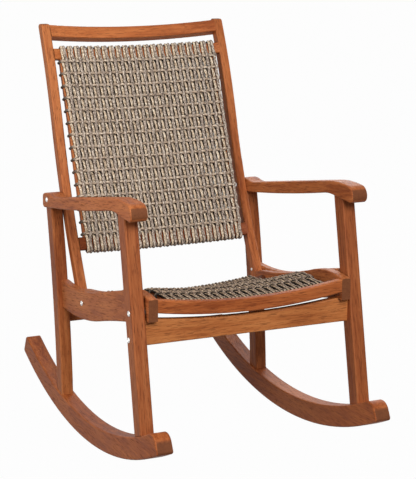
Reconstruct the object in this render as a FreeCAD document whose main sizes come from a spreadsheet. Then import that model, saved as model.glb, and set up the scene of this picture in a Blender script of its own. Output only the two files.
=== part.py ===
import math
import operator
import os
from types import SimpleNamespace

import FreeCAD
import Part
import Sketcher

# A wooden rocking chair with a woven seat and back. Millimetres and degrees, +Z up.
# The chair faces -Y, and left means -X. The origin is on the floor, midway between the two
# places where the rockers touch it.

doc = FreeCAD.newDocument("RockingChair")
sheet = doc.addObject("Spreadsheet::Sheet", "Sizes")

driving_sizes = {
    # Across the chair
    "frame_half": 282.0,
    "leg_gap": 4.0,
    "front_leg_thick": 36.0,
    "rear_leg_thick": 33.5,
    "arm_width": 45.0,
    "rocker_lip": 7.0,
    "rocker_thick": 43.5,
    "apron_thick": 24.0,
    "stile_thick": 25.5,
    "seat_rail_thick": 25.0,
    # Rockers
    "rocker_radius": 1141.0,
    "rocker_height": 57.0,
    "rocker_front_angle": 27.2,
    "rocker_rear_angle": 25.0,
    "rocker_front_round": 30.0,
    "rocker_rear_round": 12.0,
    "rocker_low_round": 7.0,
    # Legs: the front leg leans back, and the rear leg is one long curve
    "front_leg_y": -446.0,
    "front_leg_lean": 11.1,
    "front_leg_depth": 45.0,
    "rear_leg_y": 146.5,
    "rear_leg_low": -121.0,
    "rear_leg_curve": 3250.0,
    "rear_leg_depth": 44.0,
    # Arms
    "arm_rear_y": 276.5,
    "arm_rear_slope": 0.136,
    "arm_rear_height": 38.0,
    "arm_rear_round": 11.0,
    "arm_neck_y": 211.5,
    "arm_bend_y": -222.0,
    "arm_bend_drop": 3.0,
    "arm_seat_z": 664.5,
    "arm_fall": 85.0,
    "arm_chin_y": -355.0,
    "arm_nose_y": -372.0,
    "arm_nose_rise": 8.5,
    "arm_brow_y": -348.0,
    "arm_brow_rise": 36.5,
    "arm_front_y": -240.0,
    "arm_front_rise": 32.5,
    "arm_hollow_y": 176.0,
    "arm_hollow_rise": 43.5,
    "arm_crest_y": 222.0,
    "arm_crest_rise": 44.0,
    # Side aprons: two arcs along each edge, which meet at the wave
    "apron_rear_bottom": 312.0,
    "apron_rear_top": 388.5,
    "apron_wave_y": -97.0,
    "apron_wave_bottom": 343.0,
    "apron_wave_top": 420.0,
    "apron_front_bottom": 398.5,
    "apron_front_top": 475.5,
    "apron_belly": 11.5,
    "apron_shoulder": 2.0,
    # Cross aprons
    "front_apron_y": -354.0,
    "front_apron_bottom": 345.5,
    "front_apron_thick": 21.0,
    "front_apron_dish": 13.0,
    "front_apron_flat": 46.0,
    "rear_apron_bottom": 268.0,
    "rear_apron_height": 46.0,
    "rear_apron_thick": 26.0,
    "rear_apron_inset": 10.0,
    # Seat frame
    "seat_front_y": -373.5,
    "seat_rail_bottom": 409.0,
    "seat_rail_front_top": 464.5,
    "seat_rail_crown": 11.0,
    "seat_turn_y": -209.0,
    "seat_turn_top": 453.0,
    "seat_heel_y": 60.0,
    "seat_heel_top": 387.5,
    "seat_rail_rear_top": 376.5,
    "seat_rail_rear_bottom": 340.5,
    "seat_rail_belly": 8.0,
    "front_rail_top": 463.0,
    "front_rail_height": 34.0,
    "front_rail_thick": 22.0,
    "seat_dish": 21.0,
    "weave_rail_thick": 20.0,
    "weave_rail_height": 18.0,
    "front_weave_rail_y": -339.0,
    "rear_weave_rail_y": 48.5,
    "seat_weave_gap": 37.0,
    "seat_weave_thick": 8.5,
    "seat_weave_overhang": 5.0,
    "seat_front_z": 461.0,
    "seat_crest_y": -230.5,
    "seat_crest_z": 461.5,
    "seat_slope_y": -112.5,
    "seat_slope_z": 419.5,
    "seat_rear_z": 385.0,
    "seat_strip_thick": 16.0,
    "seat_strip_height": 22.0,
    # Back stiles: a straight foot, a long curve and a top that curls back
    "stile_foot_y": 94.5,
    "stile_foot_z": 340.5,
    "stile_foot_slope": 0.518,
    "stile_bend_z": 432.5,
    "stile_waist_y": 291.5,
    "stile_waist_z": 805.5,
    "stile_top_z": 1078.0,
    "stile_curl": 6.0,
    "stile_depth": 33.5,
    "stile_top_round": 9.0,
    # Back rails lie in a leaning plane and bow to the rear
    "back_y": 174.5,
    "back_z": 508.0,
    "back_lean": 20.7,
    "back_bow": 25.0,
    "back_rail_thick": 20.5,
    "lower_rail_height": 36.0,
    "upper_rail_height": 31.5,
    "back_slot": 36.3,
    "top_rail_drop": 0.3,
    "top_rail_height": 36.5,
    "top_rail_thick": 31.0,
    "top_rail_inset": 1.5,
    "top_rail_tilt": 11.0,
    "back_weave_gap": 16.0,
    "back_weave_thick": 8.5,
    "back_strip_thick": 16.0,
    "back_strip_depth": 14.0,
    # Bolts, nuts, dowels and screws
    "bolt_radius": 3.0,
    "bolt_head_radius": 7.0,
    "bolt_head_height": 1.8,
    "bolt_end_gap": 5.0,
    "nut_radius": 4.6,
    "nut_length": 14.0,
    "nut_head_radius": 5.5,
    "nut_head_height": 1.8,
    "bolt_clearance": 0.3,
    "arm_bolt_rise": 28.0,
    "apron_bolt_y": 26.0,
    "apron_bolt_z": 362.0,
    "seat_bolt_z": 429.0,
    "front_bolt_z": 361.5,
    "front_bolt_reach": 46.0,
    "barrel_radius": 5.0,
    "barrel_length": 14.0,
    "barrel_inset": 36.0,
    "spacer_radius": 9.0,
    "dowel_radius": 4.0,
    "dowel_half": 15.0,
    "foot_dowel_radius": 6.0,
    "foot_dowel_half": 26.0,
    "dowel_clearance": 0.2,
    "dowel_share": 0.27,
    "screw_radius": 2.0,
    "screw_head_radius": 4.0,
    "screw_head_height": 2.0,
    "screw_bite": 16.0,
    "screw_low_z": 351.5,
    "screw_high_z": 378.0,
    # Shared
    "edge_round": 4.0,
    "joint_gap": 0.3,
}


class Size:
    # A number together with the sheet expression that gives it.
    def __init__(self, value, text):
        self.value = value
        self.text = text

    def __add__(self, other):
        return combine(self, "+", other)

    def __radd__(self, other):
        return combine(other, "+", self)

    def __sub__(self, other):
        return combine(self, "-", other)

    def __rsub__(self, other):
        return combine(other, "-", self)

    def __mul__(self, other):
        return combine(self, "*", other)

    def __rmul__(self, other):
        return combine(other, "*", self)

    def __truediv__(self, other):
        return combine(self, "/", other)

    def __neg__(self):
        return combine(0, "-", self)


signs = {"+": operator.add, "-": operator.sub, "*": operator.mul, "/": operator.truediv}


def size(item):
    if isinstance(item, Size):
        return item
    return Size(float(item), f"({float(item)!r})")


def combine(first, sign, second):
    first = size(first)
    second = size(second)
    return Size(signs[sign](first.value, second.value), f"({first.text} {sign} {second.text})")


def root(item):
    return Size(math.sqrt(item.value), f"sqrt({item.text})")


def sine(angle):
    return Size(math.sin(math.radians(angle.value)), f"sin({angle.text})")


def cosine(angle):
    return Size(math.cos(math.radians(angle.value)), f"cos({angle.text})")


def tangent(angle):
    return Size(math.tan(math.radians(angle.value)), f"tan({angle.text})")


def turn_of(opposite, long_side):
    # The angle of a right triangle from its opposite and longest sides.
    ratio = opposite / long_side
    return Size(math.degrees(math.asin(ratio.value)), f"asin({ratio.text})")


def heading_of(rise, run):
    angle = math.degrees(math.atan2(rise.value, run.value))
    return Size(angle, f"atan2({rise.text}; {run.text})")


for row, (alias, number) in enumerate(driving_sizes.items(), 1):
    sheet.set(f"A{row}", alias)
    sheet.set(f"B{row}", str(number))
    sheet.setAlias(f"B{row}", alias)
doc.recompute()
s = SimpleNamespace(**{alias: Size(number, f"Sizes.{alias}") for alias, number in driving_sizes.items()})

pieces = {}
drillings = {}
sides = {"left": -1, "right": 1}


# Sketches and solids

def new_sketch(body, role, offset):
    sketch = body.newObject("Sketcher::SketchObject", "Outline")
    plane = next(item for item in body.Origin.OriginFeatures if item.Role == role)
    sketch.AttachmentSupport = [(plane, "")]
    sketch.MapMode = "FlatFace"
    sketch.setExpression("AttachmentOffset.Base.z", offset.text)
    return sketch


def hold(sketch, kind, where, length):
    index = sketch.addConstraint(Sketcher.Constraint(kind, *where, length.value))
    sketch.setExpression(f"Constraints[{index}]", length.text)


def middle_of(start, end, sag):
    # The middle of an edge, moved to the left of its direction by the sag.
    along = end - start
    left = FreeCAD.Vector(-along.y, along.x, 0).normalize()
    return (start + end) * 0.5 + left * sag


def draw_outline(sketch, corners):
    # A closed outline. A corner is (u, v) or (u, v, sag); the sag of the edge that leaves the
    # corner lies to the left of its direction. Returns the middle of each edge.
    corners = [[size(item) for item in corner] for corner in corners]
    spots = [FreeCAD.Vector(corner[0].value, corner[1].value, 0) for corner in corners]
    middles = []
    ends = []
    for index, corner in enumerate(corners):
        start = spots[index]
        end = spots[(index + 1) % len(spots)]
        sag = corner[2] if len(corner) > 2 else None
        middle = middle_of(start, end, sag.value if sag else 0)
        middles.append(middle)
        shape = Part.Arc(start, middle, end) if sag else Part.LineSegment(start, end)
        edge = sketch.addGeometry(shape, False)
        first = 1 if sketch.getPoint(edge, 1).distanceToPoint(start) < 0.001 else 2
        ends.append((edge, first, 3 - first))
    for index, corner in enumerate(corners):
        edge, first, last = ends[index]
        following = (index + 1) % len(corners)
        sketch.addConstraint(Sketcher.Constraint("Coincident", edge, last, *ends[following][:2]))
        hold(sketch, "DistanceX", (-1, 1, edge, first), corner[0])
        hold(sketch, "DistanceY", (-1, 1, edge, first), corner[1])
        if len(corner) > 2:
            hold(sketch, "Radius", (edge,), arc_radius(corner, corners[following]))
    return middles


def arc_radius(corner, following):
    across = following[0] - corner[0]
    along = following[1] - corner[1]
    sag = corner[2] if corner[2].value > 0 else -corner[2]
    return ((across * across + along * along) / 4 + sag * sag) / (2 * sag)


def draw_hole(sketch, u, v, radius):
    spot = FreeCAD.Vector(u.value, v.value, 0)
    circle = sketch.addGeometry(Part.Circle(spot, FreeCAD.Vector(0, 0, 1), radius.value), False)
    hold(sketch, "DistanceX", (-1, 1, circle, 3), u)
    hold(sketch, "DistanceY", (-1, 1, circle, 3), v)
    hold(sketch, "Radius", (circle,), radius)


def add_pad(body, sketch, length, backwards=False):
    pad = body.newObject("PartDesign::Pad", "Pad")
    pad.Profile = sketch
    pad.Reversed = backwards
    pad.setExpression("Length", length.text)
    doc.recompute()
    return pad


def add_fillet(body, feature, spots, radius):
    # Rounds the edges of the feature that pass through the spots.
    edges = feature.Shape.Edges
    names = []
    for spot in spots:
        point = Part.Vertex(spot)
        gaps = [edge.distToShape(point)[0] for edge in edges]
        names.append(f"Edge{gaps.index(min(gaps)) + 1}")
    fillet = body.newObject("PartDesign::Fillet", "Round")
    fillet.Base = (feature, sorted(set(names)))
    fillet.setExpression("Radius", radius.text)
    doc.recompute()
    return fillet


def new_body(label):
    body = doc.addObject("PartDesign::Body", label)
    body.Label = label
    pieces[label] = body
    return body


def side_board(label, side, inner, thick, corners, holes=(), corner_rounds=None, sharp=()):
    # A board sawn to a side-view outline of (y, z) corners. It runs outward from its inner X.
    body = new_body(label)
    near = inner if side > 0 else -(inner + thick)
    far = near.value + thick.value
    sketch = new_sketch(body, "YZ_Plane", near)
    middles = draw_outline(sketch, corners)
    for hole in holes:
        draw_hole(sketch, *hole)
    feature = add_pad(body, sketch, thick)
    for index, radius in (corner_rounds or {}).items():
        y, z = (size(item).value for item in corners[index][:2])
        feature = add_fillet(body, feature, [FreeCAD.Vector((near.value + far) / 2, y, z)], radius)
    soft = [middle for index, middle in enumerate(middles) if index not in sharp]
    spots = [FreeCAD.Vector(x, spot.x, spot.y) for spot in soft for x in (near.value, far)]
    if spots:
        add_fillet(body, feature, spots, s.edge_round)


def front_board(label, front, thick, corners, sharp=()):
    # A board sawn to a front-view outline of (x, z) corners. It runs back from its front Y.
    body = new_body(label)
    sketch = new_sketch(body, "XZ_Plane", -front)
    middles = draw_outline(sketch, corners)
    feature = add_pad(body, sketch, thick, backwards=True)
    depths = (front.value, front.value + thick.value)
    soft = [middle for index, middle in enumerate(middles) if index not in sharp]
    spots = [FreeCAD.Vector(spot.x, y, spot.y) for spot in soft for y in depths]
    add_fillet(body, feature, spots, s.edge_round)


def placed(x, y, z, turn):
    # A placement as an expression; turn is "across" or an angle about X.
    spot = f"create(<<vector>>; {size(x).text}; {size(y).text}; {size(z).text})"
    axis, angle = ("0; 1; 0", "90") if turn == "across" else ("1; 0; 0", size(turn).text)
    return f"create(<<placement>>; {spot}; create(<<rotation>>; create(<<vector>>; {axis}); {angle}))"


def add_rod(label, radius, length, place):
    rod = doc.addObject("Part::Cylinder", label)
    rod.setExpression("Radius", radius.text)
    rod.setExpression("Height", length.text)
    rod.setExpression("Placement", placed(*place))
    return rod


def add_group(label, members):
    group = doc.addObject("Part::Compound", label)
    group.Label = label
    group.Links = members
    pieces[label] = group


def drill(label, radius, length, place):
    drillings.setdefault(label, []).append(add_rod("Drill", radius, length, place))


def add_dowels(label, radius, half, joints):
    # Each joint is its middle (x, y, z), its turn, and the two pieces that it joins.
    dowels = []
    for x, y, z, turn, first, second in joints:
        reach = half + s.dowel_clearance
        for distance, name in ((half, None), (reach, first), (reach, second)):
            if turn == "across":
                place = (x - distance, y, z, turn)
            else:
                place = (x, y + distance * sine(size(turn)), z - distance * cosine(size(turn)), turn)
            if name:
                drill(name, radius + s.dowel_clearance, 2 * distance, place)
            else:
                dowels.append(add_rod("Dowel", radius, 2 * distance, place))
    add_group(label, dowels)


def stepped_rods(label, rods):
    # Rods of different radii, joined end to end.
    members = [add_rod("Rod", *rod) for rod in rods]
    joined = doc.addObject("Part::MultiFuse", label)
    joined.Shapes = members
    return joined


def across_from(side, x, length):
    # The lower X end of a length that starts at x and runs towards the middle of the chair.
    return x - length if side > 0 else -x


# Faces that pieces share

leg_inner = s.frame_half + s.leg_gap
leg_outer = leg_inner + s.front_leg_thick
rocker_inner = leg_inner - s.rocker_lip
rocker_top_radius = s.rocker_radius - s.rocker_height
foot_radius = rocker_top_radius - s.joint_gap
seat_rail_inner = s.frame_half - s.seat_rail_thick
stile_inner = s.frame_half - s.stile_thick
arm_rear_under = s.arm_seat_z - s.arm_fall
arm_bolt_z = arm_rear_under + s.arm_bolt_rise
seat_weave_half = seat_rail_inner - s.seat_weave_gap
back_weave_half = stile_inner - s.back_weave_gap
stile_top_y = s.back_y + (s.stile_top_z - s.back_z) * tangent(s.back_lean) + s.stile_curl
top_rail_lean = s.back_lean + s.top_rail_tilt
top_rail_low = s.stile_top_z - s.top_rail_drop - s.top_rail_height * cosine(top_rail_lean)
top_rail_start = (top_rail_low - s.back_z) / cosine(s.back_lean)
upper_rail_start = top_rail_start - s.back_slot - s.upper_rail_height
front_lean = tangent(s.front_leg_lean)


def front_leg_face(z):
    return s.front_leg_y + front_lean * z


def front_leg_foot(y_at_floor):
    # Where a slanted line that starts at this Y on the floor meets the foot's arc.
    reach = s.rocker_radius - y_at_floor * front_lean
    steep = 1 + front_lean * front_lean
    rest = y_at_floor * y_at_floor + s.rocker_radius * s.rocker_radius - foot_radius * foot_radius
    z = (reach - root(reach * reach - steep * rest)) / steep
    return y_at_floor + front_lean * z, z


def rear_leg_face(z):
    rise = z - s.rear_leg_low
    return s.rear_leg_y + s.rear_leg_curve - root(s.rear_leg_curve * s.rear_leg_curve - rise * rise)


def foot_height(y):
    return s.rocker_radius - root(foot_radius * foot_radius - y * y)


def rear_leg_foot(depth):
    # Where the face that lies this far behind the front one meets the foot's arc, in two steps.
    rough = foot_height(rear_leg_face(s.rocker_height) + depth)
    y = rear_leg_face(rough) + depth
    return y, foot_height(y)


def chord(start, end):
    # The length and the heading of the straight line between two (u, v) points.
    across = end[0] - start[0]
    along = end[1] - start[1]
    return root(across * across + along * along), heading_of(along, across)


def sag_of(radius, start, end):
    length = chord(start, end)[0]
    return radius - root(radius * radius - length * length / 4)


def end_heading(start, end, sag):
    # The heading at the end of an arc with this sag.
    length, heading = chord(start, end)
    return heading - 2 * heading_of(2 * sag, length)


def smooth_sag(start, middle, end, sag):
    # The sag of the arc from middle to end that carries on smoothly from an arc with this sag.
    length, heading = chord(middle, end)
    return length / 2 * tangent((end_heading(start, middle, sag) - heading) / 2)


def smooth_run(points, sag):
    # Corners of arcs that pass smoothly through the points. The first arc has the given sag.
    corners = [(*points[0], sag)]
    for start, middle, end in zip(points, points[1:], points[2:]):
        sag = smooth_sag(start, middle, end, sag)
        corners.append((*middle, sag))
    return corners


def arm_under(y):
    return arm_rear_under + (s.arm_rear_y - y) * s.arm_rear_slope


def stile_face(z):
    # The straight foot of the stile's front face.
    return s.stile_foot_y + (z - s.stile_foot_z) * s.stile_foot_slope


def on_plane(foot, lean, behind, up):
    # A point of a plane that leans back from its foot, as (y, z).
    y = foot[0] + behind * cosine(lean) + up * sine(lean)
    return y, foot[1] - behind * sine(lean) + up * cosine(lean)


# Below, the arm runs straight over the rear leg, along two arcs to the front leg and straight
# over that.
arm_seat_back = (front_leg_face(s.arm_seat_z) + s.front_leg_depth, s.arm_seat_z)
arm_low_points = [
    (s.arm_rear_y, arm_rear_under),
    (s.arm_neck_y, arm_under(s.arm_neck_y)),
    (s.arm_bend_y, s.arm_seat_z - s.arm_bend_drop),
    arm_seat_back,
]
arm_low_run = smooth_run(arm_low_points, size(0))
arm_seat_slope = tangent(end_heading(arm_low_run[-1], arm_seat_back, arm_low_run[-1][2]))
arm_seat_front_z = (s.arm_seat_z + arm_seat_slope * (s.front_leg_y - arm_seat_back[0])) / (
    1 - arm_seat_slope * front_lean)
arm_seat_front = (front_leg_face(arm_seat_front_z), arm_seat_front_z)
bolt_hole = s.bolt_radius + s.bolt_clearance
nut_hole = s.nut_radius + s.bolt_clearance
stile_middle = s.stile_depth / 2
bend_y = stile_face(s.stile_bend_z)
stile_points = [
    (s.stile_foot_y, s.stile_foot_z),
    (bend_y, s.stile_bend_z),
    (s.stile_waist_y, s.stile_waist_z),
    (stile_top_y, s.stile_top_z),
]
stile_foot, stile_bend, stile_waist = smooth_run(stile_points, size(0))
arm_bolt_y = bend_y + stile_middle + (arm_bolt_z - s.stile_bend_z) * (s.stile_waist_y - bend_y) / (
    s.stile_waist_z - s.stile_bend_z) - stile_bend[2]
front_bolt_y = s.front_apron_y + s.front_apron_thick / 2
seat_bolt_y = (s.seat_front_y + s.front_rail_thick + s.front_weave_rail_y) / 2
rear_apron_y = rear_leg_face(s.rear_apron_bottom + s.rear_apron_height / 2) + s.rear_apron_inset
rear_apron_middle = rear_apron_y + s.rear_apron_thick / 2


# Side frames

def rocker_spot(radius, angle):
    return radius * sine(angle), s.rocker_radius - radius * cosine(angle)


def make_rocker(name, side):
    front = -s.rocker_front_angle
    rear = s.rocker_rear_angle
    low_rear = rocker_spot(s.rocker_radius, rear)
    low_front = rocker_spot(s.rocker_radius, front)
    top_front = rocker_spot(rocker_top_radius, front)
    top_rear = rocker_spot(rocker_top_radius, rear)
    half_sweep = cosine((s.rocker_front_angle + s.rocker_rear_angle) / 2)
    corners = [
        (*low_rear, s.rocker_radius * (1 - half_sweep)),
        low_front,
        (*top_front, -rocker_top_radius * (1 - half_sweep)),
        top_rear,
    ]
    rounds = [s.rocker_low_round, s.rocker_low_round, s.rocker_front_round, s.rocker_rear_round]
    tips = dict(enumerate(rounds))
    side_board(f"rocker_{name}", side, rocker_inner, s.rocker_thick, corners, (), tips)


def make_front_leg(name, side):
    foot_front = front_leg_foot(s.front_leg_y)
    foot_back = front_leg_foot(s.front_leg_y + s.front_leg_depth)
    corners = [
        (*foot_back, sag_of(foot_radius, foot_back, foot_front)),
        foot_front,
        arm_seat_front,
        arm_seat_back,
    ]
    holes = [
        (seat_bolt_y, s.seat_bolt_z, bolt_hole),
        (front_bolt_y, s.front_bolt_z, bolt_hole),
    ]
    label = f"front_leg_{name}"
    side_board(label, side, leg_inner, s.front_leg_thick, corners, holes, sharp=(0, 2))


def make_rear_leg(name, side):
    foot_front = rear_leg_foot(0 * s.rear_leg_depth)
    foot_back = rear_leg_foot(s.rear_leg_depth)
    top_y = rear_leg_face(arm_under(rear_leg_face(arm_rear_under)))
    top_front = (top_y, arm_under(top_y))
    top_back = (top_y + s.rear_leg_depth, arm_under(top_y + s.rear_leg_depth))
    corners = [
        (*foot_back, sag_of(foot_radius, foot_back, foot_front)),
        (*foot_front, sag_of(s.rear_leg_curve, foot_front, top_front)),
        top_front,
        (*top_back, -sag_of(s.rear_leg_curve, top_back, foot_back)),
    ]
    side_board(f"rear_leg_{name}", side, leg_inner, s.rear_leg_thick, corners, sharp=(0, 2))


def make_arm(name, side):
    # Above, one smooth line of arcs runs from the chin to the rear end.
    chin_z = s.arm_seat_z + arm_seat_slope * (s.arm_chin_y - arm_seat_back[0])
    rear_top = (s.arm_rear_y, arm_rear_under + s.arm_rear_height)
    above = [
        arm_seat_back,
        (s.arm_chin_y, chin_z),
        (s.arm_nose_y, s.arm_seat_z + s.arm_nose_rise),
        (s.arm_brow_y, s.arm_seat_z + s.arm_brow_rise),
        (s.arm_front_y, s.arm_seat_z + s.arm_front_rise),
        (s.arm_hollow_y, arm_rear_under + s.arm_hollow_rise),
        (s.arm_crest_y, arm_rear_under + s.arm_crest_rise),
        rear_top,
    ]
    low_rear, *low_arcs = arm_low_run
    corners = [low_rear[:2], *low_arcs, arm_seat_back, *smooth_run(above, size(0))[1:], rear_top]
    holes = [(arm_bolt_y, arm_bolt_z, bolt_hole)]
    rounds = {0: s.arm_rear_round, len(corners) - 1: s.arm_rear_round}
    side_board(f"arm_{name}", side, s.frame_half, s.arm_width, corners, holes, rounds)


def make_side_apron(name, side):
    def rear_end(z):
        return rear_leg_face(z) - s.joint_gap, z

    def front_end(z):
        return front_leg_face(z) + s.front_leg_depth, z

    low_rear = rear_end(s.apron_rear_bottom)
    low_wave = (s.apron_wave_y, s.apron_wave_bottom)
    low_front = front_end(s.apron_front_bottom)
    top_front = front_end(s.apron_front_top)
    top_wave = (s.apron_wave_y, s.apron_wave_top)
    top_rear = rear_end(s.apron_rear_top)
    corners = smooth_run([low_rear, low_wave, low_front], s.apron_belly)
    corners += [low_front]
    corners += smooth_run([top_front, top_wave, top_rear], s.apron_shoulder)
    corners += [(*top_rear, -sag_of(s.rear_leg_curve, top_rear, low_rear))]
    holes = [(s.apron_bolt_y, s.apron_bolt_z, bolt_hole)]
    label = f"side_apron_{name}"
    side_board(label, side, s.frame_half, s.apron_thick, corners, holes, sharp=(2, 5))


# Cross aprons

def make_front_apron():
    flat = leg_inner - s.front_apron_flat
    corners = [
        (leg_inner, s.front_apron_bottom),
        (-leg_inner, s.front_apron_bottom),
        (-leg_inner, s.seat_rail_bottom),
        (-flat, s.seat_rail_bottom, -s.front_apron_dish),
        (flat, s.seat_rail_bottom),
        (leg_inner, s.seat_rail_bottom),
    ]
    front_board("front_apron", s.front_apron_y, s.front_apron_thick, corners, sharp=(1, 2, 4, 5))


def make_rear_apron():
    top = s.rear_apron_bottom + s.rear_apron_height
    corners = [
        (leg_inner, s.rear_apron_bottom),
        (-leg_inner, s.rear_apron_bottom),
        (-leg_inner, top),
        (leg_inner, top),
    ]
    front_board("rear_apron", rear_apron_y, s.rear_apron_thick, corners, sharp=(1, 3))


# Seat frame

def make_seat_side_rail(name, side):
    def rear_end(z):
        return stile_face(z) - s.joint_gap, z

    front = (s.seat_front_y, s.seat_rail_front_top)
    turn = (s.seat_turn_y, s.seat_turn_top)
    rear = rear_end(s.seat_rail_rear_top)
    heel = (s.seat_heel_y, s.seat_heel_top)
    corners = [
        (*rear_end(s.seat_rail_rear_bottom), s.seat_rail_belly),
        (s.seat_turn_y, s.seat_rail_bottom),
        (s.seat_front_y, s.seat_rail_bottom),
        *smooth_run([front, turn, heel, rear], s.seat_rail_crown),
        rear,
    ]
    holes = [
        (seat_bolt_y, s.seat_bolt_z, nut_hole),
        (s.apron_bolt_y, s.apron_bolt_z, nut_hole),
    ]
    label = f"seat_side_rail_{name}"
    side_board(label, side, seat_rail_inner, s.seat_rail_thick, corners, holes, sharp=(0, 1, 2, 6))


def make_dished_rail(label, front, thick, top, height):
    half = seat_rail_inner
    corners = [
        (half, top - height, s.seat_dish),
        (-half, top - height),
        (-half, top, -s.seat_dish),
        (half, top),
    ]
    front_board(label, front, thick, corners, sharp=(1, 3))


dish_radius = (seat_rail_inner * seat_rail_inner + s.seat_dish * s.seat_dish) / (2 * s.seat_dish)
weave_support = s.seat_weave_thick + s.joint_gap
front_weave_top = s.seat_front_z - weave_support
rear_weave_top = s.seat_rear_z - weave_support


def dish_at(x):
    # How far the dished seat lies below its ends at this X.
    return s.seat_dish - dish_radius + root(dish_radius * dish_radius - x * x)


front_weave_back = s.front_weave_rail_y + s.weave_rail_thick
rear_weave_back = s.rear_weave_rail_y + s.weave_rail_thick
seat_stations = [
    (s.front_weave_rail_y - s.seat_weave_overhang, s.seat_front_z),
    (front_weave_back, s.seat_front_z),
    (s.seat_crest_y, s.seat_crest_z),
    (s.seat_slope_y, s.seat_slope_z),
    (s.rear_weave_rail_y, s.seat_rear_z),
    (rear_weave_back + s.seat_weave_overhang, s.seat_rear_z),
]


def make_seat_weave():
    # A dished sheet through the stations, which lies on the two weave rails.
    body = new_body("seat_weave")
    half = seat_weave_half
    edge_drop = dish_at(half)
    sag = s.seat_dish - edge_drop
    sections = []
    for y, z in seat_stations:
        sketch = new_sketch(body, "XZ_Plane", -y)
        top = z - edge_drop
        bottom = top - s.seat_weave_thick
        draw_outline(sketch, [(half, bottom, sag), (-half, bottom), (-half, top, -sag), (half, top)])
        sections.append(sketch)
    loft = body.newObject("PartDesign::AdditiveLoft", "Sheet")
    loft.Profile = sections[0]
    loft.Sections = sections[1:]
    loft.Ruled = True
    doc.recompute()


def make_seat_strip(name, side):
    # A strip under the edge of the seat, which the cross cords loop round.
    inner = seat_weave_half - s.seat_strip_thick
    drop = dish_at(inner) + weave_support
    tops = [(y, z - drop) for y, z in seat_stations[1:5]]
    lows = [(y, z - s.seat_strip_height) for y, z in tops]
    corners = [*reversed(lows), *tops]
    label = f"seat_side_strip_{name}"
    side_board(label, side, inner, s.seat_strip_thick, corners, sharp=range(8))


# Back frame

def make_stile(name, side):
    foot_back, bend_back, waist_back, top_back = [(y + s.stile_depth, z) for y, z in stile_points]
    corners = [
        foot_back,
        stile_foot[:2],
        stile_bend,
        stile_waist,
        stile_points[-1],
        (*top_back, -stile_waist[2]),
        (*waist_back, -stile_bend[2]),
        bend_back,
    ]
    holes = [(arm_bolt_y, arm_bolt_z, nut_hole)]
    holes += [(stile_face(z) + stile_middle, z, s.screw_radius + s.joint_gap)
              for z in (s.screw_low_z, s.screw_high_z)]
    rounds = {4: s.stile_top_round, 5: s.stile_top_round}
    label = f"back_stile_{name}"
    side_board(label, side, stile_inner, s.stile_thick, corners, holes, rounds)


bow_radius = (stile_inner * stile_inner + s.back_bow * s.back_bow) / (2 * s.back_bow)


def bow_at(x):
    # How far the bowed back lies behind its ends at this X.
    return s.back_bow - bow_radius + root(bow_radius * bow_radius - x * x)


def add_bowed_slab(body, half, front, back, start, height):
    # A slab of the back between two bowed faces, given where they meet the stiles.
    edge = bow_at(half)
    sag = s.back_bow - edge
    sketch = new_sketch(body, "XY_Plane", start)
    corners = [
        (-half, front + edge, sag),
        (half, front + edge),
        (half, back + edge, -sag),
        (-half, back + edge),
    ]
    draw_outline(sketch, corners)
    return add_pad(body, sketch, height)


def back_body(label, foot=(s.back_y, s.back_z), lean=s.back_lean):
    body = new_body(label)
    body.setExpression("Placement", placed(0, *foot, -lean))
    return body


def make_back_rail(label, foot, lean, start, height, thick):
    body = back_body(label, foot, lean)
    feature = add_bowed_slab(body, stile_inner, size(0), thick, start, height)
    depths = (s.back_bow.value, s.back_bow.value + thick.value)
    levels = (start.value, start.value + height.value)
    spots = [FreeCAD.Vector(0, depth, level) for depth in depths for level in levels]
    add_fillet(body, feature, spots, s.edge_round)


def make_back_weave():
    # A bowed sheet before the rails, with lips over the upper rail and under the lower one.
    body = back_body("back_weave")
    face = -s.joint_gap - s.back_weave_thick
    lip = s.back_weave_thick + s.joint_gap
    low = -s.lower_rail_height - lip
    high = upper_rail_start + s.upper_rail_height + s.joint_gap
    half = back_weave_half
    add_bowed_slab(body, half, face, -s.joint_gap, low, high + s.back_weave_thick - low)
    for start in (low, high):
        add_bowed_slab(body, half, face, s.back_rail_thick, start, s.back_weave_thick)


def make_back_strip(name, side):
    # A strip behind the edge of the weave, from the lower rail to the upper one.
    body = back_body(f"back_side_strip_{name}")
    inner = back_weave_half - s.back_strip_thick
    near = inner if side > 0 else -back_weave_half
    far = near + s.back_strip_thick
    front = bow_at(inner)
    sketch = new_sketch(body, "XY_Plane", size(0))
    back = front + s.back_strip_depth
    draw_outline(sketch, [(near, front), (far, front), (far, back), (near, back)])
    add_pad(body, sketch, upper_rail_start)


# Bolts, nuts, spacers and screws

def bolt_rods(side, face, y, z, length):
    # A headed bolt whose head lies on the face and whose shank runs inward.
    head_x = across_from(side, face + s.bolt_head_height, s.bolt_head_height)
    shank_x = across_from(side, face, length)
    return [
        (s.bolt_head_radius, s.bolt_head_height, (head_x, y, z, "across")),
        (s.bolt_radius, length, (shank_x, y, z, "across")),
    ]


def make_bolts(label, face, y, z, length):
    bolts = [stepped_rods("Bolt", bolt_rods(side, face, y, z, length)) for side in sides.values()]
    add_group(label, bolts)


def make_cap_nut(side, inner, y, z):
    # A sleeve nut in the wood, whose head lies on the inner face.
    sleeve_x = across_from(side, inner + s.nut_length, s.nut_length)
    head_x = across_from(side, inner, s.nut_head_height)
    solid = stepped_rods("Nut", [
        (s.nut_radius, s.nut_length, (sleeve_x, y, z, "across")),
        (s.nut_head_radius, s.nut_head_height, (head_x, y, z, "across")),
    ])
    bore = add_rod("Bore", bolt_hole, s.nut_length, (sleeve_x, y, z, "across"))
    return cut_with("Sleeve", solid, bore)


def cut_with(label, base, tool):
    result = doc.addObject("Part::Cut", label)
    result.Base = base
    result.Tool = tool
    return result


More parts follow.
